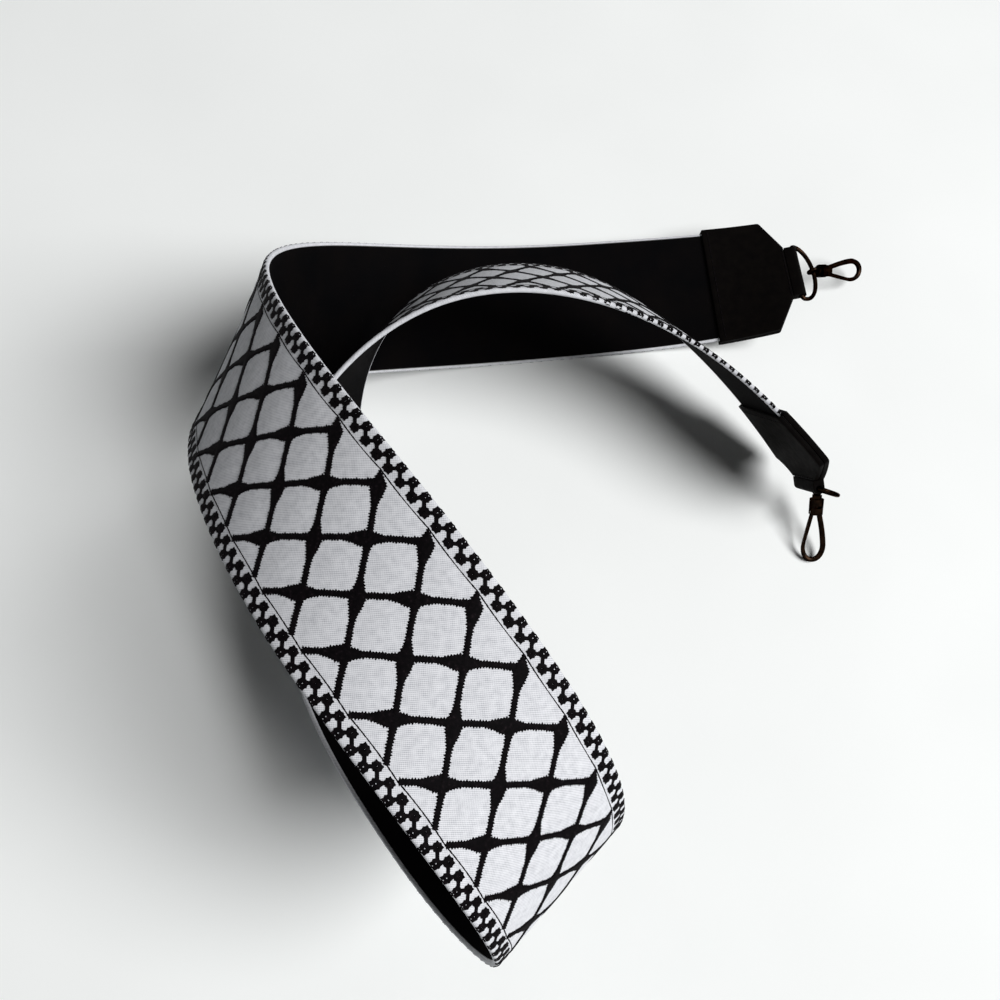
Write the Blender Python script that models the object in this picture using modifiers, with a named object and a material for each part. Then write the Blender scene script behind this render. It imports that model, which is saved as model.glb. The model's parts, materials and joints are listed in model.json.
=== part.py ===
"""Detachable shoulder strap with a swivel snap hook at each end, lying in a loose coil.

The band is three plies: a face cloth whose edges turn round to the back, a core band
and a lining. A leather tab closes each end and loops round a D-ring, and a swivel snap
hook hangs on the ring. Metres, +Z up, and the strap rests on the plane Z = 0.

Along the strap, s runs from end A to end B, w across it and n out of its face.
"""
import math

import bmesh
import bpy
from mathutils import Euler, Matrix, Quaternion, Vector

FIT_GAP = 0.0003            # clearance between pieces that seat on each other
CUT_OVERRUN = 0.002         # how far a cutter runs past the face it cuts

# The band
STRAP_LENGTH = 1.080        # cloth that shows between the two tabs
STRAP_WIDTH = 0.060
FACE_THICKNESS = 0.0004
CORE_THICKNESS = 0.0007
LINING_THICKNESS = 0.0003
HEM_WIDTH = 0.0012          # turned edge of the face cloth that shows on the back
ROUTE_DEPTH = 0.0004        # the coil's line runs this far over the band's middle
CROSS_STRIPS = 4            # strips across the flat of the band
STATION_SPACING = 0.012     # longest facet along the band
STATION_TURN = 8.0          # largest bend of one facet, degrees

# The coil, read from end A: degrees of bend, twist and sideways sway over one station step
ROUTE_TURNS = (
    (15, -15, 0), (6, -3, 0), (18, -9, 0), (27, -12, 0), (24, -15, 0), (33, -18, 0),
    (21, -12, 0), (21, -21, 0), (30, -9, 0), (51, -6, 0), (67, 16, 0), (10, 11, 0),
    (32, 21, 0), (30, 10, -2), (31, 29, 0), (47, 12, 5), (29, 6, 3), (18, -6, -16),
    (11, -5, -8),
)
START_ANGLES = (172.1, 9.9, -173.3)    # Euler angles of the band at end A, degrees
ROUTE_STEP = 0.003                     # step of the walk along the coil
STATION_STEP = STRAP_LENGTH / (len(ROUTE_TURNS) - 1)

# The leather tabs
TAB_OVERHANG = 0.0015       # leather beyond each edge of the band
TAB_LEATHER = 0.0012
TAB_SLEEVE_LENGTH = 0.031
TAB_TAPER_LENGTH = 0.010
TAB_NECK_LENGTH = 0.0065
TAB_NECK_WIDTH = 0.028
NECK_DROOP = 25             # degrees by which end B's taper bends on down to its ring
TAB_CORNER_RADIUS = 0.002
STRAP_TUCK = 0.027          # cloth inside the sleeve

# The D-rings
RING_WIRE = 0.0022
RING_DEPTH = 0.013          # centre of the bar to centre of the bow
RING_SIDE_GAP = 0.0004
RING_CORNER = 0.0022

# The swivel eye and the stud that holds the hook on it
EYE_WIRE = 0.0018
EYE_SLACK = 0.00035
COLLAR_RADIUS = 0.0023
COLLAR_LENGTH = 0.0014
STUD_RADIUS = 0.0008
STUD_HEAD_RADIUS = 0.0014
STUD_HEAD_LENGTH = 0.0007
STUD_SEAT_DEPTH = 0.0009

# The snap hook
BARREL_RADIUS = 0.0034
BARREL_LENGTH = 0.0034
HEAD_LENGTH = 0.0048
HEAD_HALF_WIDTH = 0.0030
HEAD_HALF_DEPTH = 0.0022
HEAD_ROUNDING = 0.0007
HOOK_LENGTH = 0.0325        # from the barrel's top to the bottom of the bend
HOOK_HALF_WIDTH = 0.0063
HOOK_WIRE = 0.0027
TIP_WIRE = 0.0019

# The sprung gate
PIN_RADIUS = 0.0005
PIN_SLACK = 0.0002
GATE_WIRE = 0.0021
GATE_EYE_RADIUS = 0.0013
GATE_CHEEK = 0.00055
SPRING_WIRE = 0.0003
SPRING_TURNS = 2
SPRING_PITCH = 0.00042
SPRING_RADIUS = 0.00095
SPRING_LEG = 0.0032

# How the hardware lies in the coil, degrees: the ring about its bar, the place of the eye
# round the bow, the eye's slant on the wire and swing about it, the hook about its stud
REST_ANGLES = {
    "a": {"ring": -38, "seat": 101, "slant": -2, "eye": 2, "hook": 209},
    "b": {"ring": -64, "seat": 39, "slant": -16, "eye": 70, "hook": 113},
}

BAND_HALF = CORE_THICKNESS / 2 + FIT_GAP + max(FACE_THICKNESS, LINING_THICKNESS)
TAB_HALF = BAND_HALF + FIT_GAP + TAB_LEATHER
TAB_LENGTH = TAB_SLEEVE_LENGTH + TAB_TAPER_LENGTH + TAB_NECK_LENGTH
BAR_PLACE = TAB_LENGTH - TAB_HALF


def collection(name):
    """Return a new collection under the scene's own."""
    made = bpy.data.collections.new(name)
    bpy.context.scene.collection.children.link(made)
    return made


def clear_scene():
    """Remove what the file held before."""
    for item in list(bpy.data.objects):
        bpy.data.objects.remove(item, do_unlink=True)
    for group in list(bpy.data.collections):
        bpy.data.collections.remove(group)


def finish(name, colour, roughness, metallic=0.0):
    """Return a Principled material of one colour."""
    material = bpy.data.materials.new(name)
    material.use_nodes = True
    shader = material.node_tree.nodes["Principled BSDF"]
    shader.inputs["Base Color"].default_value = (*colour, 1.0)
    shader.inputs["Roughness"].default_value = roughness
    shader.inputs["Metallic"].default_value = metallic
    return material


def black_leather(name):
    """Smooth black leather of the tabs."""
    return finish(name, (0.012, 0.011, 0.011), 0.45)


def gunmetal(name):
    """Dark plated metal of the hardware."""
    return finish(name, (0.055, 0.045, 0.038), 0.25, 1.0)


def spring_steel(name):
    """Bare wire of the gate springs."""
    return finish(name, (0.45, 0.44, 0.42), 0.3, 1.0)


def add_object(name, mesh, material=None):
    """Link a mesh into the strap's collection."""
    item = bpy.data.objects.new(name, mesh)
    PARTS.objects.link(item)
    if material:
        mesh.materials.clear()
        mesh.materials.append(material)
    return item


def add_empty(name, parent, matrix):
    """Add a pivot that carries pieces."""
    item = bpy.data.objects.new(name, None)
    PARTS.objects.link(item)
    item.parent = parent
    item.matrix_local = matrix
    return item


def baked(item):
    """Replace an object's mesh by its evaluated one, with its modifiers applied."""
    graph = bpy.context.evaluated_depsgraph_get()
    graph.update()
    mesh = bpy.data.meshes.new_from_object(item.evaluated_get(graph))
    item.modifiers.clear()
    item.data = mesh
    return item


def curve_mesh(curve_object):
    """Turn a curve into a closed mesh object in its place."""
    graph = bpy.context.evaluated_depsgraph_get()
    graph.update()
    mesh = bpy.data.meshes.new_from_object(curve_object.evaluated_get(graph))
    shell = bmesh.new()
    shell.from_mesh(mesh)
    bmesh.ops.remove_doubles(shell, verts=shell.verts, dist=WELD)
    bmesh.ops.recalc_face_normals(shell, faces=shell.faces)
    shell.to_mesh(mesh)
    shell.free()
    name = curve_object.name
    matrix = curve_object.matrix_world.copy()
    bpy.data.objects.remove(curve_object, do_unlink=True)
    item = add_object(name, mesh)
    item.matrix_world = matrix
    return item


def new_curve(name, dimensions):
    """Add an empty curve object."""
    data = bpy.data.curves.new(name, "CURVE")
    data.dimensions = dimensions
    item = bpy.data.objects.new(name, data)
    PARTS.objects.link(item)
    return item


def wire(name, points, radius, shares=None, cyclic=False, sides=2):
    """Bend a round wire through the points; shares scale its radius at each."""
    item = new_curve(name, "3D")
    data = item.data
    data.bevel_depth = radius
    data.bevel_resolution = sides
    data.use_fill_caps = not cyclic
    spline = data.splines.new("POLY")
    spline.points.add(len(points) - 1)
    spline.use_cyclic_u = cyclic
    for index, place in enumerate(points):
        spline.points[index].co = (*place, 1.0)
        if shares:
            spline.points[index].radius = shares[index]
    return curve_mesh(item)


def prism(name, outline, half, turn=None):
    """Extrude a flat outline by half on each side of its plane."""
    item = new_curve(name, "2D")
    data = item.data
    data.fill_mode = "BOTH"
    data.extrude = half
    spline = data.splines.new("POLY")
    spline.points.add(len(outline) - 1)
    spline.use_cyclic_u = True
    for index, (x, y) in enumerate(outline):
        spline.points[index].co = (x, y, 0.0, 1.0)
    item = curve_mesh(item)
    if turn is not None:
        item.data.transform(turn)
    return item


def box(name, low, high):
    """A block between two corners."""
    low, high = Vector(low), Vector(high)
    mesh = bpy.data.meshes.new(name)
    shell = bmesh.new()
    bmesh.ops.create_cube(shell, size=1.0)
    size = high - low
    middle = (high + low) / 2
    bmesh.ops.transform(
        shell, verts=shell.verts,
        matrix=Matrix.Translation(middle) @ Matrix.Diagonal((*size, 1.0)))
    shell.to_mesh(mesh)
    shell.free()
    return add_object(name, mesh)


def cylinder(name, radius, start, end, segments=20):
    """A round bar between two points."""
    start, end = Vector(start), Vector(end)
    axis = end - start
    turn = Vector((0, 0, 1)).rotation_difference(axis).to_matrix().to_4x4()
    mesh = bpy.data.meshes.new(name)
    shell = bmesh.new()
    bmesh.ops.create_cone(
        shell, cap_ends=True, segments=segments, radius1=radius, radius2=radius,
        depth=axis.length, matrix=Matrix.Translation((start + end) / 2) @ turn)
    shell.to_mesh(mesh)
    shell.free()
    return add_object(name, mesh)


def combine(target, tool, operation, keep=False):
    """Join, cut or trim one solid by another."""
    modifier = target.modifiers.new(operation.lower(), "BOOLEAN")
    modifier.operation = operation
    modifier.solver = "EXACT"
    modifier.object = tool
    baked(target)
    if keep:
        return target
    bpy.data.objects.remove(tool, do_unlink=True)
    return target


def rounded(corners, radius, steps):
    """Round the corners of an outline with arcs that touch both of its sides."""
    outline = []
    count = len(corners)
    for index, corner in enumerate(corners):
        here = Vector(corner)
        before = (Vector(corners[index - 1]) - here).normalized()
        after = (Vector(corners[(index + 1) % count]) - here).normalized()
        half = before.angle(after) / 2
        setback = radius / math.tan(half)
        centre = here + (before + after).normalized() * radius / math.sin(half)
        start = here + before * setback - centre
        sweep = start.angle_signed(here + after * setback - centre)
        for step in range(steps + 1):
            turn = Matrix.Rotation(-sweep * step / steps, 2)
            outline.append(tuple(centre + turn @ start))
    return outline


class Route:
    """The coil that the band follows, as frames at small even steps."""

    def __init__(self):
        heading = Euler([math.radians(angle) for angle in START_ANGLES]).to_quaternion()
        forward = self.walk(heading, STRAP_LENGTH + TAB_LENGTH, 1)
        backward = self.walk(heading, TAB_LENGTH, -1)
        self.frames = list(reversed(backward[1:])) + forward
        self.first = -(len(backward) - 1)

    def rate(self, s, column):
        """Bend (0), twist (1) or sway (2) at s, in radians a metre; the necks stay straight."""
        beyond = s - STRAP_LENGTH - TAB_SLEEVE_LENGTH
        if column == 0 and 0 < beyond < TAB_TAPER_LENGTH:
            return math.radians(NECK_DROOP) / TAB_TAPER_LENGTH
        if s < -TAB_SLEEVE_LENGTH or beyond > 0:
            return 0.0
        last = len(ROUTE_TURNS) - 1
        place = min(max(s / STATION_STEP, 0.0), last)
        low = min(int(place), last - 1)
        share = place - low
        turn = ROUTE_TURNS[low][column] * (1 - share) + ROUTE_TURNS[low + 1][column] * share
        return math.radians(turn) / STATION_STEP

    def walk(self, heading, length, sign):
        """Step along the band and return its frames."""
        place = Vector((0, 0, 0))
        frames = [(place.copy(), heading.copy())]
        step = sign * ROUTE_STEP
        for index in range(math.ceil(length / ROUTE_STEP)):
            middle = (index + 0.5) * step
            turn = Vector([self.rate(middle, column) for column in (1, 0, 2)]) * step
            following = heading @ Quaternion(turn.normalized(), turn.length) \
                if turn.length else heading.copy()
            along = (heading @ Vector((1, 0, 0)) + following @ Vector((1, 0, 0))) / 2
            place = place + along * step
            heading = following
            frames.append((place.copy(), heading.copy()))
        return frames

    def at(self, s):
        """Position and heading of the band's middle line at s."""
        place = s / ROUTE_STEP - self.first
        low = min(max(int(place), 0), len(self.frames) - 2)
        share = place - low
        start, end = self.frames[low], self.frames[low + 1]
        return start[0].lerp(end[0], share), start[1].slerp(end[1], min(max(share, 0), 1))

    def point(self, s, w, n):
        """World point that lies w across and n out of the band's middle at s."""
        place, heading = self.at(s)
        return place + heading @ Vector((0, w, n - ROUTE_DEPTH))

    def stations(self, start, end):
        """Places along the band, evenly graded: closer together where it bends more."""
        count = math.ceil((end - start) / ROUTE_STEP)
        step = (end - start) / count
        load = [0.0]
        for index in range(count):
            bend = abs(self.rate(start + (index + 0.5) * step, 0))
            load.append(load[-1] + step * max(1 / STATION_SPACING,
                                              bend / math.radians(STATION_TURN)))
        total = math.ceil(load[-1])
        places = []
        index = 0
        for station in range(total + 1):
            target = load[-1] * station / total
            while index < count - 1 and load[index + 1] < target:
                index += 1
            share = (target - load[index]) / (load[index + 1] - load[index])
            places.append(start + (index + min(share, 1.0)) * step)
        return places


def ply(name, profile, thickness, material):
    """Lay a flat cloth of the given cross profile along the route and thicken it."""
    stations = ROUTE.stations(-STRAP_TUCK, STRAP_LENGTH + STRAP_TUCK)
    rows, columns = len(stations) - 1, len(profile) - 1
    mesh = bpy.data.meshes.new(name)
    sheet = bmesh.new()
    bmesh.ops.create_grid(sheet, x_segments=rows, y_segments=columns, size=1.0)
    bmesh.ops.triangulate(sheet, faces=sheet.faces, quad_method="FIXED")
    for vertex in sheet.verts:
        row = round((vertex.co.x + 1) / 2 * rows)
        column = round((vertex.co.y + 1) / 2 * columns)
        vertex.co = ROUTE.point(stations[row], *profile[column])
    sheet.to_mesh(mesh)
    sheet.free()
    item = add_object(name, mesh, material)
    item.parent = REST
    thicken = item.modifiers.new("thickness", "SOLIDIFY")
    thicken.thickness = thickness
    thicken.offset = 0.0
    thicken.use_even_offset = True
    return item


def flat_profile(half_width, level):
    """Even strips across a flat ply."""
    return [((2 * index / CROSS_STRIPS - 1) * half_width, level)
            for index in range(CROSS_STRIPS + 1)]


def build_band():
    """The face cloth, the core band and the lining."""
    half = STRAP_WIDTH / 2
    face_level = CORE_THICKNESS / 2 + FIT_GAP + FACE_THICKNESS / 2
    lining_level = -CORE_THICKNESS / 2 - FIT_GAP - LINING_THICKNESS / 2
    hem_level = -face_level
    edge = half - FACE_THICKNESS / 2
    strips = flat_profile(edge, face_level)
    hem = half - HEM_WIDTH
    profile = [(-hem, hem_level), (-edge, hem_level), *strips, (edge, hem_level),
               (hem, hem_level)]
    ply("face_cloth", profile, FACE_THICKNESS,
        finish("embroidered_cotton", (0.72, 0.72, 0.74), 0.85))
    ply("core_band", flat_profile(half - FACE_THICKNESS - FIT_GAP, 0.0), CORE_THICKNESS,
        finish("core_felt", (0.30, 0.30, 0.30), 0.9))
    ply("lining", flat_profile(hem - FIT_GAP, lining_level), LINING_THICKNESS,
        finish("black_lining", (0.010, 0.010, 0.011), 0.8))


def tab_outline():
    """Outline of a tab: sleeve, taper and neck, from the band outwards."""
    wide = STRAP_WIDTH / 2 + TAB_OVERHANG
    narrow = TAB_NECK_WIDTH / 2
    shoulder = TAB_SLEEVE_LENGTH
    neck = TAB_SLEEVE_LENGTH + TAB_TAPER_LENGTH
    corners = [(shoulder, -wide), (shoulder, wide)]
    lower, upper = (rounded([(0, -wide), corners[0], (neck, -narrow)], TAB_CORNER_RADIUS, 3),
                    rounded([(neck, narrow), corners[1], (0, wide)], TAB_CORNER_RADIUS, 3))
    lower = lower[4:8]
    upper = upper[4:8]
    return [(0, -wide), *lower, (neck, -narrow), (TAB_LENGTH, -narrow),
            (TAB_LENGTH, narrow), (neck, narrow), *upper, (0, wide)]


def tab_side():
    """Side view of a tab: a slab whose end rounds the bar of the ring."""
    arc = []
    for step in range(9):
        angle = math.pi * (step / 8 - 0.5)
        arc.append((BAR_PLACE + TAB_HALF * math.cos(angle), TAB_HALF * math.sin(angle)))
    return [(0, -TAB_HALF), *arc, (0, TAB_HALF)]


def tab_solid(name):
    """The closed sleeve of one tab, laid flat, with its pocket and its bore."""
    wide = STRAP_WIDTH / 2 + TAB_OVERHANG + CUT_OVERRUN
    upright = Matrix.Rotation(math.pi / 2, 4, "X")
    body = prism(name, tab_side(), wide, upright)
    combine(body, prism("outline", tab_outline(), TAB_HALF + CUT_OVERRUN), "INTERSECT")
    pocket = (STRAP_TUCK + FIT_GAP, STRAP_WIDTH / 2 + FIT_GAP, BAND_HALF + FIT_GAP)
    combine(body, box("pocket", (-CUT_OVERRUN, -pocket[1], -pocket[2]), pocket), "DIFFERENCE")
    bore = cylinder("bore", RING_WIRE / 2 + FIT_GAP, (BAR_PLACE, -wide, 0), (BAR_PLACE, wide, 0))
    return combine(body, bore, "DIFFERENCE")


def bend_on_route(item, end):
    """Slice a flat tab across and lengthwise, then lay it along the route."""
    shell = bmesh.new()
    shell.from_mesh(item.data)
    cuts = [((TAB_SLEEVE_LENGTH * step / 4, 0, 0), (1, 0, 0)) for step in (1, 2, 3, 4)]
    cuts += [((TAB_SLEEVE_LENGTH + TAB_TAPER_LENGTH * step / 3, 0, 0), (1, 0, 0))
             for step in (1, 2, 3)]
    spread = STRAP_WIDTH / 2 + FIT_GAP
    cuts += [((0, spread * side, 0), (0, 1, 0)) for side in (-0.5, 0.0, 0.5)]
    for place, normal in cuts:
        bmesh.ops.bisect_plane(
            shell, geom=shell.verts[:] + shell.edges[:] + shell.faces[:], dist=WELD,
            plane_co=place, plane_no=normal)
    bmesh.ops.triangulate(shell, faces=shell.faces)
    for vertex in shell.verts:
        x, y, z = vertex.co
        vertex.co = ROUTE.point(-x, -y, z) if end == "a" else ROUTE.point(STRAP_LENGTH + x, y, z)
    shell.to_mesh(item.data)
    shell.free()


def build_tab(end):
    """Outer leather with the ring loop, and the inner leather that faces it."""
    neck = TAB_SLEEVE_LENGTH + TAB_TAPER_LENGTH
    wide = STRAP_WIDTH / 2 + TAB_OVERHANG + CUT_OVERRUN
    deep = TAB_HALF + CUT_OVERRUN
    outer = tab_solid("tab_outer_" + end)
    under = box("under", (-CUT_OVERRUN, -wide, -deep), (neck, wide, FIT_GAP / 2))
    combine(outer, under, "DIFFERENCE")
    inner = tab_solid("tab_inner_" + end)
    keep = box("keep", (-CUT_OVERRUN, -wide, -deep), (neck - FIT_GAP, wide, -FIT_GAP / 2))
    combine(inner, keep, "INTERSECT")
    for item in (outer, inner):
        bend_on_route(item, end)
        item.data.materials.clear()
        item.data.materials.append(black_leather(item.name + "_leather"))
        item.parent = REST


def end_matrix(end):
    """Frame at the ring's bar: X out of the strap, Z out of its face."""
    s = -BAR_PLACE if end == "a" else STRAP_LENGTH + BAR_PLACE
    place, heading = ROUTE.point(s, 0, 0), ROUTE.at(s)[1]
    turn = heading.to_matrix().to_4x4()
    if end == "a":
        turn = turn @ Matrix.Rotation(math.pi, 4, "Z")
    return Matrix.Translation(place) @ turn


def swing(degrees, axis):
    """Rotation matrix for a rest angle."""
    return Matrix.Rotation(math.radians(degrees), 4, axis)


def put_on(item, pivot, material):
    """Hang a piece that is modelled about the origin on its pivot."""
    item.parent = pivot
    item.matrix_local = Matrix.Identity(4)
    item.data.materials.clear()
    item.data.materials.append(material)
    item.data.shade_smooth()
    item.data.set_sharp_from_angle(angle=math.radians(35))


def ring_points():
    """Centre line of the D-ring: bar on Y, round corners, half an ellipse for the bow."""
    half = TAB_NECK_WIDTH / 2 + RING_SIDE_GAP + RING_WIRE / 2
    points = []
    for step in range(4):
        angle = math.pi / 2 * step / 4
        points.append((RING_CORNER * (1 - math.cos(angle)),
                       half - RING_CORNER * (1 - math.sin(angle))))
    for step in range(19):
        angle = math.pi * step / 18
        points.append((RING_CORNER + (RING_DEPTH - RING_CORNER) * math.sin(angle),
                       half * math.cos(angle)))
    for step in range(4):
        angle = math.pi / 2 * (1 - (step + 1) / 4)
        points.append((RING_CORNER * (1 - math.cos(angle)),
                       -half + RING_CORNER * (1 - math.sin(angle))))
    return [(x, y, 0.0) for x, y in points]


def seat_matrix(degrees):
    """Frame on the ring's bow: X square out of the wire, Y along it."""
    angle = math.radians(degrees)
    half = TAB_NECK_WIDTH / 2 + RING_SIDE_GAP + RING_WIRE / 2
    bulge = RING_DEPTH - RING_CORNER
    place = (RING_CORNER + bulge * math.sin(angle), half * math.cos(angle), 0)
    lean = math.atan2(bulge * math.cos(angle), half * math.sin(angle))
    return Matrix.Translation(place) @ Matrix.Rotation(lean, 4, "Z")


def build_ring(end, pivot):
    """The D-ring, a closed loop of round wire."""
    name = "d_ring_" + end
    ring = wire(name, ring_points(), RING_WIRE / 2, cyclic=True)
    put_on(ring, pivot, gunmetal(name + "_plate"))


EYE_MAJOR = RING_WIRE / 2 + EYE_SLACK + EYE_WIRE / 2
EYE_REACH = EYE_MAJOR + EYE_WIRE / 2
COLLAR_END = EYE_REACH - FIT_GAP + COLLAR_LENGTH
BARREL_START = COLLAR_END + FIT_GAP
BARREL_END = BARREL_START + BARREL_LENGTH
HEAD_END = BARREL_END + HEAD_LENGTH
WINDOW_START = BARREL_END - FIT_GAP
WINDOW_END = WINDOW_START + STUD_HEAD_LENGTH + 3 * FIT_GAP
PIN_X = HEAD_END - GATE_EYE_RADIUS
PIN_Y = -HEAD_HALF_WIDTH + GATE_EYE_RADIUS
FORK_GAP = SPRING_TURNS * SPRING_PITCH / 2 + SPRING_WIRE
GATE_HALF = FORK_GAP + GATE_CHEEK
BEND_X = BARREL_START + HOOK_LENGTH - HOOK_WIRE / 2


def build_eye(end, pivot):
    """Eye that threads the ring, with the collar that the hook turns under."""
    name = "swivel_eye_" + end
    bpy.ops.mesh.primitive_torus_add(
        major_radius=EYE_MAJOR, minor_radius=EYE_WIRE / 2, major_segments=24,
        minor_segments=8, rotation=(math.pi / 2, 0, 0))
    eye = bpy.context.active_object
    for group in list(eye.users_collection):
        group.objects.unlink(eye)
    PARTS.objects.link(eye)
    eye.name = name
    eye.data.transform(eye.matrix_basis)
    eye.matrix_basis = Matrix.Identity(4)
    collar = cylinder("collar", COLLAR_RADIUS, (EYE_MAJOR + EYE_WIRE / 4, 0, 0),
                      (COLLAR_END, 0, 0))
    combine(eye, collar, "UNION")
    seat = cylinder("seat", STUD_RADIUS + FIT_GAP, (COLLAR_END - STUD_SEAT_DEPTH, 0, 0),
                    (COLLAR_END + CUT_OVERRUN, 0, 0), 12)
    combine(eye, seat, "DIFFERENCE")
    put_on(eye, pivot, gunmetal(name + "_plate"))


def build_stud(end, pivot):
    """Headed stud: its shank stands in the collar, its head holds the barrel."""
    name = "swivel_stud_" + end
    shank_start = COLLAR_END - STUD_SEAT_DEPTH + FIT_GAP
    head_start = WINDOW_START + FIT_GAP
    stud = cylinder(name, STUD_RADIUS, (shank_start, 0, 0),
                    (head_start + STUD_HEAD_LENGTH / 2, 0, 0), 12)
    head = cylinder("head", STUD_HEAD_RADIUS, (head_start, 0, 0),
                    (head_start + STUD_HEAD_LENGTH, 0, 0), 16)
    combine(stud, head, "UNION")
    put_on(stud, pivot, gunmetal(name + "_plate"))


def smooth_line(knots, steps):
    """Points of a smooth curve through the knots, with their radius shares."""
    line = []
    count = len(knots)
    for index in range(count - 1):
        around = [knots[min(max(index + offset, 0), count - 1)] for offset in (-1, 0, 1, 2)]
        for step in range(steps):
            t = step / steps
            weights = (-t**3 + 2 * t**2 - t, 3 * t**3 - 5 * t**2 + 2,
                       -3 * t**3 + 4 * t**2 + t, t**3 - t**2)
            line.append(tuple(sum(weight * knot[axis] for weight, knot in zip(weights, around)) / 2
                              for axis in range(3)))
    line.append(knots[-1])
    return line


# Centre line of the hook as shares: along from the head to the bend, across by the
# half width, and the wire's radius by its own
HOOK_LINE_SHARES = (
    (0.00, 0.28, 1.00), (0.12, 0.42, 1.00), (0.34, 0.70, 1.02), (0.58, 0.93, 1.06),
    (0.77, 1.00, 1.05), (0.91, 0.76, 1.02), (0.985, 0.36, 1.00), (1.00, -0.08, 0.96),
    (0.965, -0.52, 0.92), (0.87, -0.86, 0.86), (0.745, -0.97, 0.78), (0.63, -0.92, 0.70),
)


def hook_place(along, across):
    """Point of the hook's plane from its two shares."""
    start = BARREL_END + HEAD_LENGTH / 2
    return (start + along * (BEND_X - start),
            across * (HOOK_HALF_WIDTH - HOOK_WIRE / 2))


def build_hook(end, pivot):
    """Hook body: barrel, forked head and the bent wire that ends in the tip."""
    name = "hook_body_" + end
    head = box(name, (BARREL_END - FIT_GAP, -HEAD_HALF_WIDTH, -HEAD_HALF_DEPTH),
               (HEAD_END, HEAD_HALF_WIDTH, HEAD_HALF_DEPTH))
    soften = head.modifiers.new("rounding", "BEVEL")
    soften.width = HEAD_ROUNDING
    soften.segments = 2
    baked(head)
    barrel = cylinder("barrel", BARREL_RADIUS, (BARREL_START, 0, 0),
                      (BARREL_END + HEAD_ROUNDING, 0, 0), 24)
    combine(head, barrel, "UNION")
    line = smooth_line(HOOK_LINE_SHARES, 3)
    points = [(*hook_place(along, across), 0.0) for along, across, _ in line]
    bend = wire("bend", points, HOOK_WIRE / 2, [share for _, _, share in line])
    combine(head, bend, "UNION")
    bore = cylinder("bore", STUD_RADIUS + FIT_GAP, (BARREL_START - CUT_OVERRUN, 0, 0),
                    (WINDOW_START + FIT_GAP, 0, 0), 12)
    combine(head, bore, "DIFFERENCE")
    reach = STUD_HEAD_RADIUS + FIT_GAP
    window = box("window", (WINDOW_START, -reach, -HEAD_HALF_DEPTH - CUT_OVERRUN),
                 (WINDOW_END, reach, HEAD_HALF_DEPTH + CUT_OVERRUN))
    combine(head, window, "DIFFERENCE")
    slot_half = GATE_HALF + FIT_GAP
    clear = GATE_EYE_RADIUS + FIT_GAP
    slot = box("slot", (PIN_X - clear, -HEAD_HALF_WIDTH - CUT_OVERRUN, -slot_half),
               (HEAD_END + CUT_OVERRUN, PIN_Y + clear, slot_half))
    combine(head, slot, "DIFFERENCE")
    reach = HEAD_HALF_DEPTH + CUT_OVERRUN
    hole = cylinder("hole", PIN_RADIUS + PIN_SLACK, (PIN_X, PIN_Y, -reach),
                    (PIN_X, PIN_Y, reach), 12)
    combine(head, hole, "DIFFERENCE")
    put_on(head, pivot, gunmetal(name + "_plate"))


def tip_place():
    """Centre of the hook's tip in the hook's plane."""
    along, across, _ = HOOK_LINE_SHARES[-1]
    return Vector((*hook_place(along, across), 0.0))


def build_gate(end, pivot):
    """Gate lever: a forked eye on the pin and a tapered finger up to the tip."""
    name = "gate_lever_" + end
    pin = Vector((PIN_X, PIN_Y, 0.0))
    finger = tip_place() - pin
    direction = finger.normalized()
    reach = finger.length - FIT_GAP
    points = [direction * reach * share for share in (0.0, 0.5, 1.0)]
    taper = [1.0, 1.0, TIP_WIRE / GATE_WIRE]
    lever = wire(name, points, GATE_WIRE / 2, taper)
    boss = cylinder("boss", GATE_EYE_RADIUS, (0, 0, -GATE_HALF), (0, 0, GATE_HALF), 16)
    combine(lever, boss, "UNION")
    clear = SPRING_RADIUS + SPRING_WIRE / 2 + FIT_GAP
    fork = box("fork", (-clear - CUT_OVERRUN, -clear, -FORK_GAP), (clear, clear, FORK_GAP))
    combine(lever, fork, "DIFFERENCE")
    hole = cylinder("hole", PIN_RADIUS + PIN_SLACK, (0, 0, -GATE_HALF - CUT_OVERRUN),
                    (0, 0, GATE_HALF + CUT_OVERRUN), 12)
    combine(lever, hole, "DIFFERENCE")
    put_on(lever, pivot, gunmetal(name + "_plate"))


def build_pin(end, pivot):
    """Straight pin through both cheeks of the head."""
    name = "gate_pin_" + end
    pin = cylinder(name, PIN_RADIUS, (PIN_X, PIN_Y, -HEAD_HALF_DEPTH),
                   (PIN_X, PIN_Y, HEAD_HALF_DEPTH), 12)
    put_on(pin, pivot, gunmetal(name + "_plate"))


def build_spring(end, pivot):
    """Torsion spring that winds round the pin between the gate's cheeks."""
    name = "gate_spring_" + end
    points = []
    rise = SPRING_TURNS * SPRING_PITCH
    steps = SPRING_TURNS * 10
    for step in range(steps + 1):
        angle = 2 * math.pi * step / 10
        points.append((SPRING_RADIUS * math.sin(angle), -SPRING_RADIUS * math.cos(angle),
                       rise * (step / steps - 0.5)))
    points.insert(0, (-SPRING_LEG / 4, -SPRING_RADIUS, -rise / 2))
    points = [(x + PIN_X, y + PIN_Y, z) for x, y, z in points]
    spring = wire(name, points, SPRING_WIRE / 2, sides=1)
    put_on(spring, pivot, spring_steel(name + "_wire"))


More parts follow.
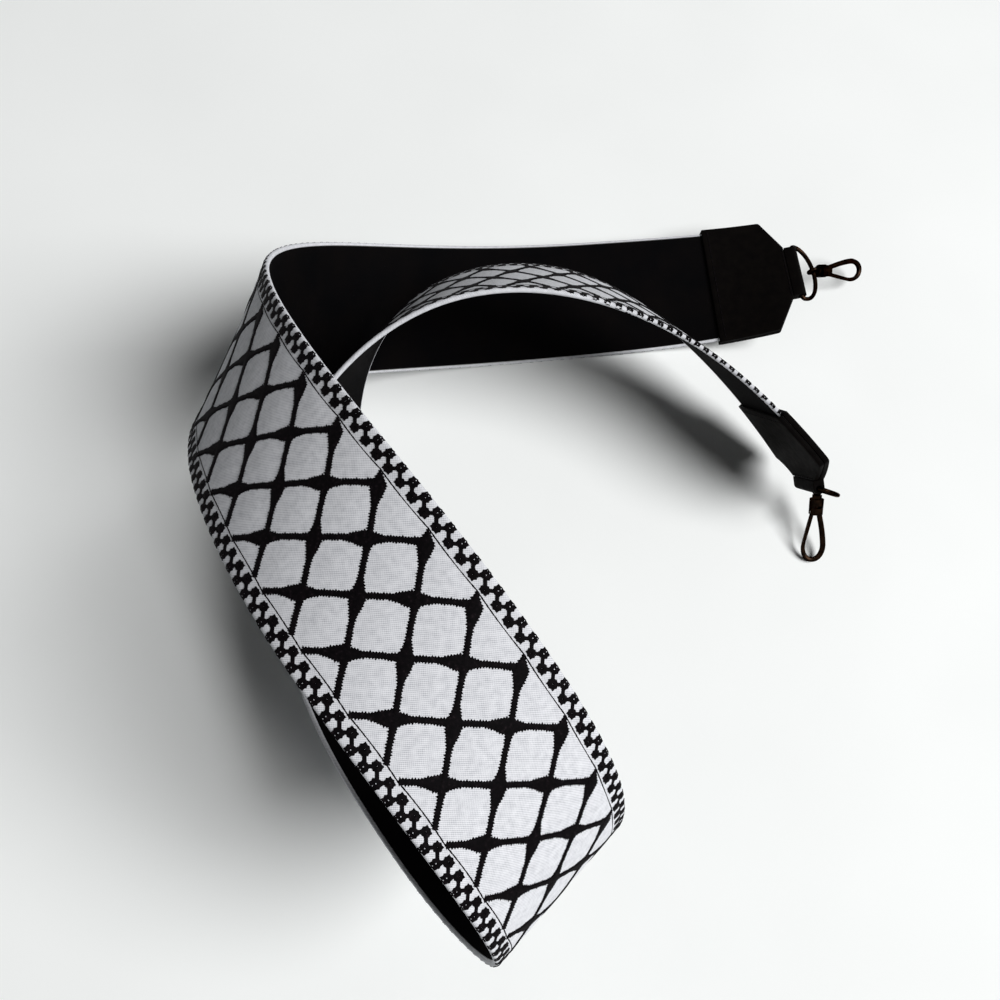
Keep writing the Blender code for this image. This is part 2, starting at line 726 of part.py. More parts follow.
def build_hardware(end):
    """Ring, eye, hook and gate of one end, each on the pivot that it turns about."""
    rest = REST_ANGLES[end]
    ring_pivot = add_empty("ring_pivot_" + end, REST,
                           end_matrix(end) @ swing(rest["ring"], "Y"))
    eye_seat = add_empty("eye_seat_" + end, ring_pivot, seat_matrix(rest["seat"]))
    eye_pivot = add_empty("eye_pivot_" + end, eye_seat,
                          swing(rest["slant"], "Z") @ swing(rest["eye"], "Y"))
    hook_pivot = add_empty("hook_pivot_" + end, eye_pivot, swing(rest["hook"], "X"))
    gate_pivot = add_empty("gate_pivot_" + end, hook_pivot,
                           Matrix.Translation((PIN_X, PIN_Y, 0)))
    build_ring(end, ring_pivot)
    build_eye(end, eye_pivot)
    build_stud(end, eye_pivot)
    build_hook(end, hook_pivot)
    build_pin(end, hook_pivot)
    build_spring(end, hook_pivot)
    build_gate(end, gate_pivot)


def stand_on_floor():
    """Move the whole strap so that it rests on Z = 0 over the origin."""
    graph = bpy.context.evaluated_depsgraph_get()
    graph.update()
    low = Vector((math.inf,) * 3)
    high = Vector((-math.inf,) * 3)
    for item in PARTS.objects:
        if item.type != "MESH":
            continue
        shape = item.evaluated_get(graph)
        for vertex in shape.data.vertices:
            place = shape.matrix_world @ vertex.co
            low = Vector(map(min, low, place))
            high = Vector(map(max, high, place))
    middle = (low + high) / 2
    REST.location = (-middle.x, -middle.y, -low.z)


WELD = 0.000001
clear_scene()
PARTS = collection("shoulder_strap")
REST = add_empty("strap_rest", None, Matrix.Identity(4))
ROUTE = Route()
build_band()
for which_end in ("a", "b"):
    build_tab(which_end)
    build_hardware(which_end)
stand_on_floor()
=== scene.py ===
"""Detachable shoulder strap in a loose coil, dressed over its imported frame.

An embroidered cotton band lies in a coil on white paper. A black leather tab closes each
end, and a swivel snap hook hangs there on a D-ring. Metres, +Z up. Along the strap, s runs
from end A to end B, w across it and n out of its patterned face.
"""
import json
import logging
import math
from collections.abc import Callable, Iterable, Iterator, Sequence
from contextlib import contextmanager
from dataclasses import dataclass
from enum import Enum

import bpy
import numpy as np
from bpy.types import Material, Node, NodeSocket, NodeTree, Object
from mathutils import Euler, Matrix, Quaternion, Vector


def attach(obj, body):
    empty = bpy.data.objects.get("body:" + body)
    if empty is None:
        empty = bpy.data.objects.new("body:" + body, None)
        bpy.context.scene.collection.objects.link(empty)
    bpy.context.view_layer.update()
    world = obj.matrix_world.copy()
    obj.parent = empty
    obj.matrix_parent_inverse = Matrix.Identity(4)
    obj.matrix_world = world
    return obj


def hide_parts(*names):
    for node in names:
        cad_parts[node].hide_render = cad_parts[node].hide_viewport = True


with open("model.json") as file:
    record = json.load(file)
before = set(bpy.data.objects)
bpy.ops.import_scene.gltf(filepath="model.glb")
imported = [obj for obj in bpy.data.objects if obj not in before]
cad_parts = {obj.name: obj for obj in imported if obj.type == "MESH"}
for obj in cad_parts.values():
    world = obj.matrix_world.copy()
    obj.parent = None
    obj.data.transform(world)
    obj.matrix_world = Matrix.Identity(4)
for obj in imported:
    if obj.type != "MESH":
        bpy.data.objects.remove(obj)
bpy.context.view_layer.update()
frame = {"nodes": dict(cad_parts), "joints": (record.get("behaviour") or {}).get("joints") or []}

LOG = logging.getLogger("strap")
WAVE = math.pi / 10      # scale at which a wave texture repeats once a metre
MERGED = 0.000002        # vertices closer than this become one


class End(Enum):
    """The two ends of the strap."""

    A = "a"
    B = "b"


# Finishes


def srgb(value: str) -> tuple[float, float, float, float]:
    """Turn an sRGB hex value to a linear colour.

    Args:
        value: colour as #RRGGBB.

    Returns:
        Linear red, green, blue and alpha.
    """
    parts = [int(value[place:place + 2], 16) / 255 for place in (1, 3, 5)]
    linear = [part / 12.92 if part <= 0.04045 else ((part + 0.055) / 1.055) ** 2.4
              for part in parts]
    return (*linear, 1.0)


def add_node(tree: NodeTree, kind: str, values: dict | None = None, links: dict | None = None,
             stops: Sequence[tuple[float, str]] = ()) -> Node:
    """Add a shader node with its settings and links.

    Args:
        tree: node tree that gets the node.
        kind: node type without its ShaderNode prefix.
        values: attributes by name, and input values by socket name or number.
        links: output sockets by the name or number of the input that they feed.
        stops: place and sRGB hex of each colour, for a node with a colour ramp.

    Returns:
        The new node.
    """
    node = tree.nodes.new("ShaderNode" + kind)
    for key, value in (values or {}).items():
        if isinstance(key, str) and hasattr(node, key):
            setattr(node, key, value)
        else:
            node.inputs[key].default_value = value
    for key, socket in (links or {}).items():
        tree.links.new(socket, node.inputs[key])
    if stops:
        marks = node.color_ramp.elements
        while len(marks) < len(stops):
            marks.new(0.5)
        for mark, (place, colour) in zip(marks, stops):
            mark.position = place
            mark.color = srgb(colour)
    return node


@dataclass(frozen=True)
class Finish:
    """What every finish shares: a Principled shader whose tone changes in patches."""

    name: str
    colour: str
    roughness: float
    metallic: float = 0.0
    specular: float = 0.5
    sheen: float = 0.0
    rim: str = "#FFFFFF"         # tint of the reflection at a glancing view
    laid: bool = False           # the pattern follows the flat strap
    tones: tuple[tuple[float, str], ...] = ()    # place and colour; "" is the finish's own
    patch: float = 0.001         # width of a patch of one tone
    layers: float = 5.0          # how ragged the patches are
    relief: tuple[float, float] = (0.0, 0.0)     # strength and depth of the pattern's bump
    # two tones, and how much rougher the surface is at each; none for an even gloss
    gloss: tuple[float, float, float, float] | None = None

    def make(self) -> Material:
        """Build the material.

        Returns:
            Material with its constants on the shader's own sockets.
        """
        material = bpy.data.materials.new(self.name)
        material.use_nodes = True
        tree = material.node_tree
        shader = tree.nodes["Principled BSDF"]
        for key, value in (("Base Color", srgb(self.colour)), ("Roughness", self.roughness),
                           ("Metallic", self.metallic), ("Specular IOR Level", self.specular),
                           ("Sheen Weight", self.sheen), ("Specular Tint", srgb(self.rim))):
            shader.inputs[key].default_value = value
        place = (add_node(tree, "UVMap", {"uv_map": "flat"}).outputs["UV"] if self.laid
                 else add_node(tree, "TexCoord").outputs["Object"])
        tone = self.tone(tree, place)
        ramp = add_node(tree, "ValToRGB", links={"Fac": tone},
                        stops=[(at, value or self.colour) for at, value in self.tones])
        feeds = {"Base Color": ramp.outputs["Color"]}
        height = self.height(tree, place, tone)
        if height is not None:
            strength, depth = self.relief
            bump = add_node(tree, "Bump", {"Strength": strength, "Distance": depth},
                            {"Height": height})
            feeds["Normal"] = bump.outputs["Normal"]
        if self.gloss:
            low, high, at_low, at_high = self.gloss
            gloss = add_node(tree, "MapRange", {"From Min": low, "From Max": high,
                                                "To Min": self.roughness + at_low,
                                                "To Max": self.roughness + at_high},
                             {"Value": tone})
            feeds["Roughness"] = gloss.outputs["Result"]
        for key, socket in feeds.items():
            tree.links.new(socket, shader.inputs[key])
        return material

    def tone(self, tree: NodeTree, place: NodeSocket) -> NodeSocket:
        """Return a factor that changes from patch to patch."""
        return add_node(tree, "TexNoise", {"Scale": 1 / self.patch, "Detail": self.layers},
                        {"Vector": place}).outputs["Fac"]

    def height(self, tree: NodeTree, place: NodeSocket,
               tone: NodeSocket) -> NodeSocket | None:
        """Return the height of the surface's pattern; the plain finish has none."""
        return None


@dataclass(frozen=True)
class WovenCotton(Finish):
    """Plain-woven cotton: two sets of threads cross, so the face is a fine matt grid."""

    laid: bool = True
    tones: tuple[tuple[float, str], ...] = ((0.2, "#A2A4AA"), (0.78, ""))    # gap, thread
    relief: tuple[float, float] = (0.5, 0.00008)     # threads stand proud of their gaps
    thread: float = 0.00052      # 0.35 mm on the real cloth; drawn coarser so that it shows
    slub: float = 0.0022         # a thicker stretch of thread is a few millimetres long
    bias: float = 47.6           # the cloth is cut on the bias: threads lie along the fishnet

    def tone(self, tree: NodeTree, place: NodeSocket) -> NodeSocket:
        """Cross two waves of threads, with slubs that vary their tone.

        Args:
            tree: the material's nodes.
            place: coordinates of the pattern.

        Returns:
            Tone, which is also the height of the threads.
        """
        turned = add_node(tree, "Mapping", {"Rotation": (0, 0, math.radians(-self.bias))},
                          {"Vector": place}).outputs["Vector"]
        waves = [add_node(tree, "TexWave", {
            "bands_direction": direction, "Scale": WAVE / self.thread, "Distortion": 0.8,
            "Detail": 2.0, "Detail Scale": 0.4}, {"Vector": turned}).outputs["Fac"]
            for direction in ("X", "Y")]
        slubs = add_node(tree, "TexNoise", {"Scale": 1 / self.slub, "Detail": 3.0},
                         {"Vector": turned}).outputs["Fac"]
        # one set of threads lies on top, so it shows more
        under = add_node(tree, "Math", {"operation": "MULTIPLY", 1: 0.35}, {0: waves[0]})
        weave = add_node(tree, "Math", {"operation": "MULTIPLY_ADD", 1: 0.65},
                         {0: waves[1], 2: under.outputs["Value"]})
        threads = add_node(tree, "Math", {"operation": "MULTIPLY", 1: 0.6},
                           {0: weave.outputs["Value"]})
        return add_node(tree, "Math", {"operation": "MULTIPLY_ADD", 1: 0.6},
                        {0: slubs, 2: threads.outputs["Value"]}).outputs["Value"]

    def height(self, tree: NodeTree, place: NodeSocket, tone: NodeSocket) -> NodeSocket:
        """Return the tone: a thread is both lighter and higher than its gaps."""
        return tone


@dataclass(frozen=True)
class SatinThread(Finish):
    """Rayon embroidery thread, laid in satin stitch: black, with a faint warm sheen painted into
    its colour as lighter streaks.
    """

    laid: bool = True
    # the two lighter tones are painted sheen: highlights on the threads painted into the colour
    tones: tuple[tuple[float, str], ...] = ((0.4, ""), (0.6, "#0B080A"), (0.75, "#1E181B"))
    patch: float = 0.0012        # the tone and its painted sheen change every stitch or two
    layers: float = 3.0
    relief: tuple[float, float] = (0.25, 0.00006)
    ply: float = 0.00048         # 0.12 mm on the real thread; drawn coarser so that it shows

    def height(self, tree: NodeTree, place: NodeSocket, tone: NodeSocket) -> NodeSocket:
        """Raise the thread's fine plies."""
        return add_node(tree, "TexNoise", {"Scale": 1 / self.ply, "Detail": 2.0},
                        {"Vector": place}).outputs["Fac"]


@dataclass(frozen=True)
class Sateen(Finish):
    """Black sateen lining: a smooth matt face with a fine diagonal of floats."""

    laid: bool = True
    tones: tuple[tuple[float, str], ...] = ((0.35, ""), (0.75, "#090707"))
    patch: float = 0.02          # soft wear
    relief: tuple[float, float] = (0.3, 0.00005)
    floats: float = 0.0006       # 0.2 mm on the real lining; drawn coarser so that it shows
    slant: float = 63            # degrees by which the floats slant

    def height(self, tree: NodeTree, place: NodeSocket, tone: NodeSocket) -> NodeSocket:
        """Raise the diagonal floats."""
        turned = add_node(tree, "Mapping", {"Rotation": (0, 0, math.radians(self.slant))},
                          {"Vector": place}).outputs["Vector"]
        return add_node(tree, "TexWave", {"Scale": WAVE / self.floats, "Distortion": 2.0,
                                          "Detail": 2.0}, {"Vector": turned}).outputs["Fac"]


@dataclass(frozen=True)
class GrainedLeather(Finish):
    """Smooth black cowhide: fine pebbled grain with creases, polished on its high spots."""

    tones: tuple[tuple[float, str], ...] = ((0.3, ""), (0.75, "#090706"))
    patch: float = 0.004         # from one crease to the next
    layers: float = 6.0
    relief: tuple[float, float] = (0.35, 0.00012)
    gloss: tuple[float, float, float, float] | None = (0.0, 1.0, 0.14, -0.1)
    grain: float = 0.0006        # width of one pebble of the grain

    def height(self, tree: NodeTree, place: NodeSocket, tone: NodeSocket) -> NodeSocket:
        """Raise the pebbles between the creases."""
        pebbles = add_node(tree, "TexVoronoi", {"Scale": 1 / self.grain,
                                                "feature": "DISTANCE_TO_EDGE"},
                           {"Vector": place}).outputs["Distance"]
        return add_node(tree, "Math", {"operation": "MULTIPLY_ADD", 1: 0.6},
                        {0: tone, 2: pebbles}).outputs["Value"]


@dataclass(frozen=True)
class BlackNickel(Finish):
    """Black-nickel plated zinc: glossy dark brown, dulled and warmed a little where rubbed."""

    tones: tuple[tuple[float, str], ...] = ((0.4, ""), (0.75, "#23170F"))
    patch: float = 0.0025        # width of a handling mark
    relief: tuple[float, float] = (0.06, 0.00005)
    gloss: tuple[float, float, float, float] | None = (0.3, 0.7, -0.04, 0.08)
    pit: float = 0.0006          # pits are 0.2 mm apart; drawn coarser so that they show

    def height(self, tree: NodeTree, place: NodeSocket, tone: NodeSocket) -> NodeSocket:
        """Sink the pits of the cast surface."""
        return add_node(tree, "TexNoise", {"Scale": 1 / self.pit, "Detail": 3.0},
                        {"Vector": place}).outputs["Fac"]


COTTON = WovenCotton("plain_woven_cotton", "#DFE0E4", 0.9, specular=0.1)
THREAD = SatinThread("black_rayon_satin_stitch", "#050405", 0.6, specular=0.02)
LINING = Sateen("black_sateen_lining", "#040405", 0.85, specular=0.02)
LEATHER = GrainedLeather("black_cowhide_smooth", "#040303", 0.6, specular=0.015)
NICKEL = BlackNickel("black_nickel_plated_zinc", "#0F0A07", 0.2, metallic=1.0,
                     rim="#8C7464")
# drawn steel is bright and has the same fine pits and marks
SPRING = BlackNickel("drawn_spring_steel", "#8E8C88", 0.3, metallic=1.0,
                     tones=((0.4, ""), (0.75, "#A8A49C")))
# needled polyester felt is grey, matt and hairy; its fibres are 0.1 mm, drawn coarser so
# that they show
FELT = Finish("needled_felt_core", "#8C8C8A", 0.95, sheen=0.3,
              tones=((0.3, "#6E6E6C"), (0.7, "")), patch=0.0005, layers=6.0)
# white paper has no texture that shows here, only a slight unevenness over a hand's width
PAPER = Finish("white_background_paper", "#F8FAF9", 0.9, specular=0.2,
               tones=((0.3, "#F4F6F5"), (0.7, "")), patch=0.12, layers=2.0)


# Modelling by hand: the few moves that every piece is made with


def deselect() -> None:
    """Leave edit mode and deselect everything."""
    if bpy.context.object and bpy.context.object.mode != "OBJECT":
        bpy.ops.object.mode_set(mode="OBJECT")
    bpy.ops.object.select_all(action="DESELECT")


def pick(*items: Object) -> Object:
    """Select these objects alone and make the first active.

    Args:
        items: objects, the active one first.

    Returns:
        The active object.
    """
    deselect()
    for item in items:
        item.select_set(True)
    bpy.context.view_layer.objects.active = items[0]
    return items[0]


@contextmanager
def editing(item: Object) -> Iterator[None]:
    """Put one object in edit mode, with all of it selected, and leave the mode afterwards.

    Args:
        item: object to edit.

    Yields:
        Nothing; the object is edited meanwhile.
    """
    pick(item)
    bpy.ops.object.mode_set(mode="EDIT")
    bpy.ops.mesh.select_all(action="SELECT")
    yield
    bpy.ops.object.mode_set(mode="OBJECT")


def coordinates(item: Object) -> np.ndarray:
    """Read the mesh's vertices.

    Args:
        item: object with a mesh.

    Returns:
        Rows of x, y and z.
    """
    flat = np.empty(len(item.data.vertices) * 3)
    item.data.vertices.foreach_get("co", flat)
    return flat.reshape(-1, 3)


def put_coordinates(item: Object, places: np.ndarray) -> None:
    """Move the mesh's vertices to these rows of x, y and z."""
    item.data.vertices.foreach_set("co", np.ascontiguousarray(places, dtype=float).ravel())
    item.data.update()


def settle(name: str) -> Object:
    """Name the object just added, and put its place, turn and size in its mesh.

    Args:
        name: name of the piece.

    Returns:
        The object, at the origin.
    """
    item = bpy.context.object
    bpy.ops.object.transform_apply(location=True, rotation=True, scale=True)
    item.name = item.data.name = name
    return item


def grid(name: str, rows: int, columns: int) -> tuple[Object, np.ndarray, np.ndarray]:
    """Add a grid, whose vertices are then put in place by their numbers.

    Args:
        name: name of the piece.
        rows: strips along X.
        columns: strips along Y.

    Returns:
        The grid, and the row and column number of each of its vertices.
    """
    deselect()
    bpy.ops.mesh.primitive_grid_add(x_subdivisions=rows, y_subdivisions=columns, size=2)
    item = bpy.context.object
    item.name = item.data.name = name
    old = coordinates(item)
    return item, (old[:, 0] + 1) / 2 * rows, (old[:, 1] + 1) / 2 * columns


def close(item: Object, places: np.ndarray) -> Object:
    """Shape a grid to a solid, and close the seams where its edges meet.

    Args:
        item: the grid.
        places: x, y and z of each vertex.

    Returns:
        The solid, its faces outwards.
    """
    put_coordinates(item, places)
    with editing(item):
        bpy.ops.mesh.remove_doubles(threshold=MERGED)
        bpy.ops.mesh.normals_make_consistent(inside=False)
    return item


def apply_modifier(item: Object, kind: str, **settings: object) -> Object:
    """Add a modifier and apply it.

    Args:
        item: object that it shapes.
        kind: Blender's name of the modifier.
        settings: its attributes.

    Returns:
        The object.
    """
    pick(item)
    modifier = item.modifiers.new(kind.lower(), kind)
    for key, value in settings.items():
        setattr(modifier, key, value)
    bpy.ops.object.modifier_apply(modifier=modifier.name)
    return item


def cut(item: Object, tool: Object, operation: str) -> Object:
    """Join, trim or cut a solid by another, which is used up.

    Args:
        item: solid that is kept.
        tool: solid that cuts it.
        operation: UNION, INTERSECT or DIFFERENCE.

    Returns:
        The solid that is left.
    """
    apply_modifier(item, "BOOLEAN", operation=operation, solver="EXACT", object=tool)
    bpy.data.objects.remove(tool, do_unlink=True)
    return item


def copies(item: Object, places: Iterable[Sequence]) -> Object:
    """Join shifted copies of a piece into one, and drop the pattern piece.

    Args:
        item: piece that is repeated.
        places: 4 x 4 matrices or shifts, one for each copy.

    Returns:
        One object with all the copies.
    """
    made = []
    for place in places:
        twin = item.copy()
        twin.data = item.data.copy()
        matrix = Matrix(place) if len(place) == 4 else Matrix.Translation(place)
        twin.data.transform(matrix)
        bpy.context.collection.objects.link(twin)
        made.append(twin)
    name = item.name
    bpy.data.objects.remove(item, do_unlink=True)
    whole = pick(*made)
    bpy.ops.object.join()
    whole.name = whole.data.name = name
    return whole


def box(name: str, low: Sequence[float], high: Sequence[float]) -> Object:
    """Add a block.

    Args:
        name: name of the piece.
        low: its lowest corner.
        high: its highest corner.

    Returns:
        The block.
    """
    low, high = Vector(low), Vector(high)
    deselect()
    bpy.ops.mesh.primitive_cube_add(size=1, location=(low + high) / 2)
    bpy.context.object.scale = high - low
    return settle(name)


def rod(name: str, radius: float, start: Sequence[float], end: Sequence[float]) -> Object:
    """Add a round bar.

    Args:
        name: name of the piece.
        radius: its radius.
        start: middle of one end.
        end: middle of the other end.

    Returns:
        The bar.
    """
    start, end = Vector(start), Vector(end)
    axis = end - start
    deselect()
    bpy.ops.mesh.primitive_cylinder_add(
        vertices=32, radius=radius, depth=axis.length, location=(start + end) / 2,
        rotation=Vector((0, 0, 1)).rotation_difference(axis).to_euler())
    return settle(name)


def paint(item: Object, finish: Finish) -> None:
    """Give an object this finish alone."""
    item.data.materials.clear()
    item.data.materials.append(MATERIALS[finish.name])


def dress(item: Object, finish: Finish, body: str,
          stands_for: Sequence[str] = (), smooth: float = 40) -> Object:
    """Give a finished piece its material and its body.

    Args:
        item: piece in its place.
        finish: finish that covers it.
        body: CAD body that it rides on.
        stands_for: CAD nodes that it replaces.
        smooth: edges flatter than this many degrees are shaded smooth.

    Returns:
        The piece.
    """
    paint(item, finish)
    pick(item)
    bpy.ops.object.shade_smooth_by_angle(angle=math.radians(smooth))
    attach(item, body)
    if stands_for:
        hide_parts(*stands_for)
    LOG.info("%s: %d faces on %s", item.name, len(item.data.polygons), body)
    return item


# The coil


@dataclass
class Coil:
    """The line that the band follows, as frames at small even steps."""

    length: float = 1.080          # cloth between the two tabs
    over_middle: float = 0.0004    # the line runs this far over the band's middle
    step: float = 0.003            # from one frame to the next
    sleeve: float = 0.031          # wide part of a tab
    taper: float = 0.010           # from there to its neck
    reach: float = 0.0475          # tab beyond the cloth
    bar: float = 0.04495           # bar of the ring beyond the cloth
    start: tuple[float, float, float] = (172.1, 9.9, -173.3)    # heading at end A
    # degrees of bend, twist and sideways sway over each eighteenth of the length
    turns: tuple[tuple[float, float, float], ...] = (
        (15, -15, 0), (6, -3, 0), (18, -9, 0), (27, -12, 0), (24, -15, 0), (33, -18, 0),
        (21, -12, 0), (21, -21, 0), (30, -9, 0), (51, -6, 0), (67, 16, 0), (10, 11, 0),
        (32, 21, 0), (30, 10, -2), (31, 29, 0), (47, 12, 5), (29, 6, 3), (18, -6, -16),
        (11, -5, -8),
    )
    droop: float = 25              # degrees by which end B's taper bends on down to its ring

    def __post_init__(self) -> None:
        """Walk both ways from end A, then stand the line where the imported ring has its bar."""
        heading = Euler([math.radians(angle) for angle in self.start]).to_quaternion()
        forward = self.walk(heading, self.length + self.reach, 1)
        backward = self.walk(heading, self.reach, -1)
        frames = list(reversed(backward[1:])) + forward
        self.first = -(len(backward) - 1)
        self.places = np.array([tuple(place) for place, _ in frames])
        self.turned = np.array([heading.to_matrix() for _, heading in frames])
        anchor = next(joint["pos_m"] for joint in frame["joints"]
                      if joint["name"] == "ring_swing_a")
        at_bar = self.points(np.array([[-self.bar, 0.0, 0.0]]))[0]
        self.rest = np.array(anchor) - at_bar
        self.places = self.places + self.rest

    def rate(self, s: float, column: int) -> float:
        """Read how fast the line turns.

        Args:
            s: place along the strap.
            column: 0 for bend, 1 for twist, 2 for sway.

        Returns:
            Radians a metre.
        """
        beyond = s - self.length - self.sleeve
        if column == 0 and 0 < beyond < self.taper:
            return math.radians(self.droop) / self.taper
        if s < -self.sleeve or beyond > 0:
            return 0.0
        last = len(self.turns) - 1
        station = self.length / last
        place = min(max(s / station, 0.0), last)
        low = min(int(place), last - 1)
        share = place - low
        turn = self.turns[low][column] * (1 - share) + self.turns[low + 1][column] * share
        return math.radians(turn) / station

    def walk(self, heading: Quaternion, length: float,
             sign: int) -> list[tuple[Vector, Quaternion]]:
        """Step along the band.

        Args:
            heading: frame at end A.
            length: how far to go.
            sign: 1 towards end B, -1 away from it.

        Returns:
            Place and heading at each step.
        """
        place = Vector((0, 0, 0))
        frames = [(place.copy(), heading.copy())]
        step = sign * self.step
        for index in range(math.ceil(length / self.step)):
            middle = (index + 0.5) * step
            turn = Vector([self.rate(middle, column) for column in (1, 0, 2)]) * step
            following = (heading @ Quaternion(turn.normalized(), turn.length)
                         if turn.length else heading.copy())
            along = (heading @ Vector((1, 0, 0)) + following @ Vector((1, 0, 0))) / 2
            place = place + along * step
            heading = following
            frames.append((place.copy(), heading.copy()))
        return frames

    def points(self, swn: np.ndarray) -> np.ndarray:
        """Find points of the strap in the coil.

        Args:
            swn: rows of s, w and n.

        Returns:
            Rows of x, y and z in the world.
        """
        place = swn[:, 0] / self.step - self.first
        low = np.clip(place.astype(int), 0, len(self.places) - 2)
        share = (place - low)[:, None]
        offset = np.stack([np.zeros(len(swn)), swn[:, 1], swn[:, 2] - self.over_middle], 1)
        starts = self.places[low] + np.einsum("nij,nj->ni", self.turned[low], offset)
        ends = self.places[low + 1] + np.einsum("nij,nj->ni", self.turned[low + 1], offset)
        return starts * (1 - share) + ends * share

    def lay(self, item: Object,
            section: Callable[[np.ndarray], np.ndarray] | None = None) -> Object:
        """Lay a flat piece along the coil, and keep its flat place as its UV map.

        Args:
            item: piece modelled flat, x along the strap.
            section: turns flat rows to rows of s, w and n; none where they are that already.

        Returns:
            The piece.
        """
        flat = coordinates(item)
        mesh = item.data
        for layer in list(mesh.uv_layers):
            mesh.uv_layers.remove(layer)
        layer = mesh.uv_layers.new(name="flat")
        corners = np.empty(len(mesh.loops), dtype=np.int32)
        mesh.loops.foreach_get("vertex_index", corners)
        layer.data.foreach_set("uv", flat[corners, :2].ravel())
        put_coordinates(item, self.points(section(flat) if section else flat))
        return item


# The band and its embroidery


@dataclass
class Band:
    """Face cloth with turned edges, stiffening core and black lining."""

    coil: Coil
    half_width: float = 0.030
    cloth: float = 0.0004
    core: float = 0.0007
    lining: float = 0.0003
    gap: float = 0.0003            # between two plies, and round what sits in leather
    hem: float = 0.0012            # turned edge of the cloth that shows on the back
    tuck: float = 0.027            # band inside each tab
    row: float = 0.0015            # length of a row of faces

    def __post_init__(self) -> None:
        """Work out the levels and the flat sizes of the plies."""
        self.level = self.core / 2 + self.gap + self.cloth / 2
        self.flat_half = self.half_width - self.cloth / 2 - self.level
        self.round = math.pi * self.level
        self.across = self.flat_half + self.round + self.hem - self.cloth / 2 - self.level
        self.whole = self.coil.length + 2 * self.tuck
        self.rows = round(self.whole / self.row)

    def section(self, flat: np.ndarray) -> np.ndarray:
        """Wrap what lies on the cloth round the band's edge.

        Args:
            flat: rows of s, distance across and height over the cloth.

        Returns:
            Rows of s, w and n.
        """
        side = np.sign(flat[:, 1])
        over = np.clip(np.abs(flat[:, 1]) - self.flat_half, 0, None)
        angle = np.clip(over, 0, self.round) / self.level
        beyond = np.clip(over - self.round, 0, None)
        radius = self.level + self.cloth / 2 + flat[:, 2]
        inner = np.minimum(np.abs(flat[:, 1]), self.flat_half) - beyond
        return np.stack([flat[:, 0], side * (inner + radius * np.sin(angle)),
                         radius * np.cos(angle)], 1)

    def slab(self, name: str, levels: Sequence[float], thickness: float,
             section: Callable[[np.ndarray], np.ndarray],
             lift: Callable[[np.ndarray, np.ndarray], np.ndarray] | None = None) -> Object:
        """Make one ply flat, give it its thickness and lay it in the coil.

        Args:
            name: name of the ply.
            levels: distances across at which its faces meet.
            thickness: how thick it is, downwards.
            section: turns flat rows to rows of s, w and n.
            lift: height for arrays of s and distance across; none for a flat ply.

        Returns:
            The ply.
        """
        ply, row, column = grid(name, self.rows, len(levels) - 1)
        s = row / self.rows * self.whole - self.tuck
        t = np.interp(column, np.arange(len(levels)), levels)
        put_coordinates(ply, np.stack([s, t, lift(s, t) if lift else 0 * s], 1))
        apply_modifier(ply, "SOLIDIFY", thickness=thickness, offset=-1.0)
        return self.coil.lay(ply, section)

    def level_section(self, top: float) -> Callable[[np.ndarray], np.ndarray]:
        """Return the section of a flat ply whose upper side is at this level."""
        return lambda flat: flat + np.array([0.0, 0.0, top])

    def build(self, embroidery: "Embroidery") -> None:
        """Build the three plies.

        Args:
            embroidery: gives how the cells between its lines puff up.
        """
        turned = [self.across, self.flat_half + self.round] + [
            self.flat_half + self.round * share for share in (0.8, 0.6, 0.4, 0.2)]
        flat = np.linspace(-self.flat_half, self.flat_half, 37)
        levels = [-place for place in turned] + list(flat) + turned[::-1]
        cloth = self.slab("face_cloth_woven", levels, self.cloth, self.section,
                          embroidery.puff)
        dress(cloth, COTTON, "strap", ["face_cloth"], 60)
        core_half = self.half_width - self.cloth - self.gap
        core = self.slab("core_band_felt", np.linspace(-core_half, core_half, 9), self.core,
                         self.level_section(self.core / 2))
        dress(core, FELT, "strap", ["core_band"])
        lining_half = self.half_width - self.hem - self.gap
        lining = self.slab("lining_sateen", np.linspace(-lining_half, lining_half, 17),
                           self.lining, self.level_section(-self.core / 2 - self.gap))
        dress(lining, LINING, "strap", ["lining"])


